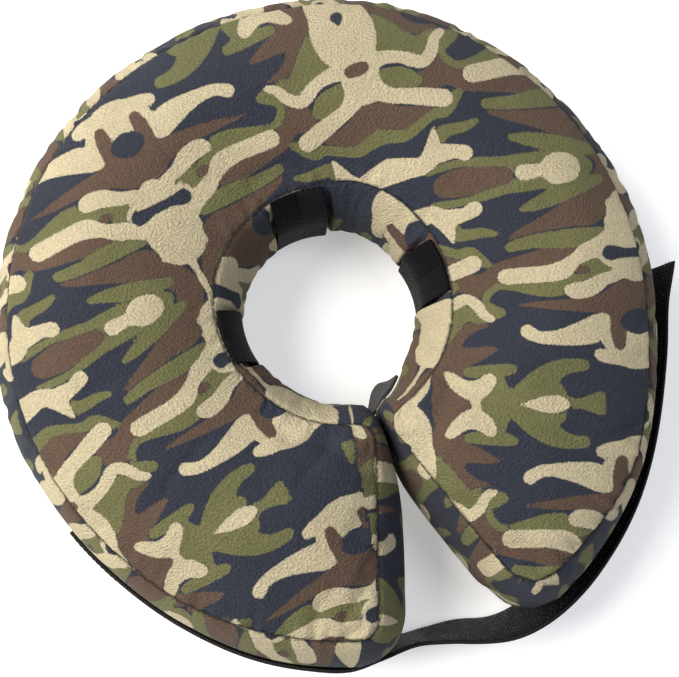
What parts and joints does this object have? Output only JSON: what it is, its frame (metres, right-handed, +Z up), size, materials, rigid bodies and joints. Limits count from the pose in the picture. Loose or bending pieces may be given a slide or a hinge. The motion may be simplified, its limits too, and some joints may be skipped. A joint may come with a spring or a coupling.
{
  "type": "inflatable recovery collar",
  "caption": "Soft inflated C-shaped ring in a camouflage plush cover, with webbing loops on the neck wall for the pet's own collar, a neck tab and a hook-and-loop closing strap.",
  "frame": {"origin": "on the surface that the collar lies on, under the middle of its bounding box", "axes": "+Z up along the neck's axis as the collar lies flat, -Y towards the gap between the two arms"},
  "size_m": [0.3294, 0.332, 0.083],
  "materials": {
    "plush": "short-pile plush printed in a four-colour camouflage",
    "webbing": "woven herringbone webbing",
    "hook_tape": "hook tape, matt with fine rows of hooks",
    "loop_tape": "brushed loop tape",
    "ribbed_tape": "ribbed tape"
  },
  "bodies": {
    "root": {"top_panel": "plush", "bottom_panel": "plush", "outer_wall": "plush", "neck_wall": "plush", "left_end_panel": "plush", "right_end_panel": "plush", "left_loop": "webbing", "back_loop": "webbing", "right_loop": "webbing", "closing_strap": "hook_tape", "landing_strip": "loop_tape", "neck_tab": "ribbed_tape"}
  },
  "joints": []
}
